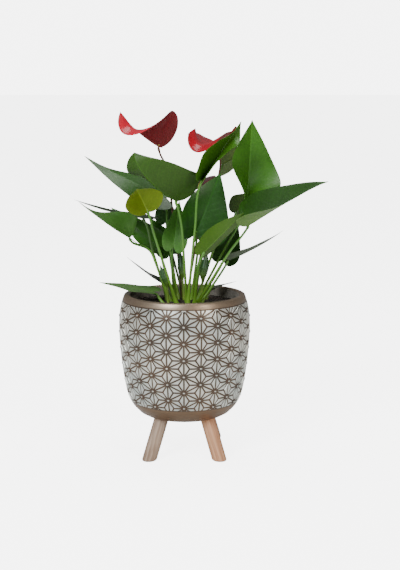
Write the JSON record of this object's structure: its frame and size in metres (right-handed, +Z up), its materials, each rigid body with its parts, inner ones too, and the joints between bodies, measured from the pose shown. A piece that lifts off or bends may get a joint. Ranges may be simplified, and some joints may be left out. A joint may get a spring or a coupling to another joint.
{
  "type": "potted anthurium",
  "caption": "Anthurium plant with heart-shaped leaves and red spathe flowers, growing in a round relief-patterned planter that stands on splayed wooden legs.",
  "frame": {"origin": "middle of the whole object's box, on the floor under the legs", "axes": "+Z up; the front, as a person looks at the plant, faces -Y; +X to the viewer's right"},
  "size_m": [0.2992, 0.1804, 0.411],
  "materials": {
    "pot": "satin",
    "soil": "matte",
    "leg": "matte",
    "leaf": "satin",
    "young_leaf": "satin",
    "leaf_stem": "satin",
    "flower_stem": "satin",
    "spathe": "gloss",
    "spadix": "satin"
  },
  "bodies": {
    "root": {"flower_left_spadix": "spadix", "flower_left_spathe": "spathe", "flower_left_stem": "flower_stem", "flower_low_spadix": "spadix", "flower_low_spathe": "spathe", "flower_low_stem": "flower_stem", "flower_right_spadix": "spadix", "flower_right_spathe": "spathe", "flower_right_stem": "flower_stem", "leaf_01": "leaf", "leaf_01_stem": "leaf_stem", "leaf_02": "leaf", "leaf_02_stem": "leaf_stem", "leaf_03": "leaf", "leaf_03_stem": "leaf_stem", "leaf_04": "leaf", "leaf_04_stem": "leaf_stem", "leaf_05": "leaf", "leaf_05_stem": "leaf_stem", "leaf_06": "leaf", "leaf_06_stem": "leaf_stem", "leaf_07": "leaf", "leaf_07_stem": "leaf_stem", "leaf_08": "leaf", "leaf_08_stem": "leaf_stem", "leaf_09": "leaf", "leaf_09_stem": "leaf_stem", "leaf_10": "leaf", "leaf_10_stem": "leaf_stem", "leaf_11": "leaf", "leaf_11_stem": "leaf_stem", "leaf_12": "leaf", "leaf_12_stem": "leaf_stem", "leaf_13": "leaf", "leaf_13_stem": "leaf_stem", "leaf_14": "leaf", "leaf_14_stem": "leaf_stem", "leaf_15": "leaf", "leaf_15_stem": "leaf_stem", "leaf_16": "leaf", "leaf_16_stem": "leaf_stem", "leaf_17": "leaf", "leaf_17_stem": "leaf_stem", "leaf_18": "leaf", "leaf_18_stem": "leaf_stem", "leaf_19": "leaf", "leaf_19_stem": "leaf_stem", "leaf_20": "leaf", "leaf_20_stem": "leaf_stem", "leaf_21": "leaf", "leaf_21_stem": "leaf_stem", "leg_back_left": "leg", "leg_back_right": "leg", "leg_front_left": "leg", "leg_front_right": "leg", "pot": "pot", "soil": "soil", "young_leaf_1": "young_leaf", "young_leaf_2": "young_leaf", "young_leaf_3": "young_leaf"}
  },
  "joints": []
}
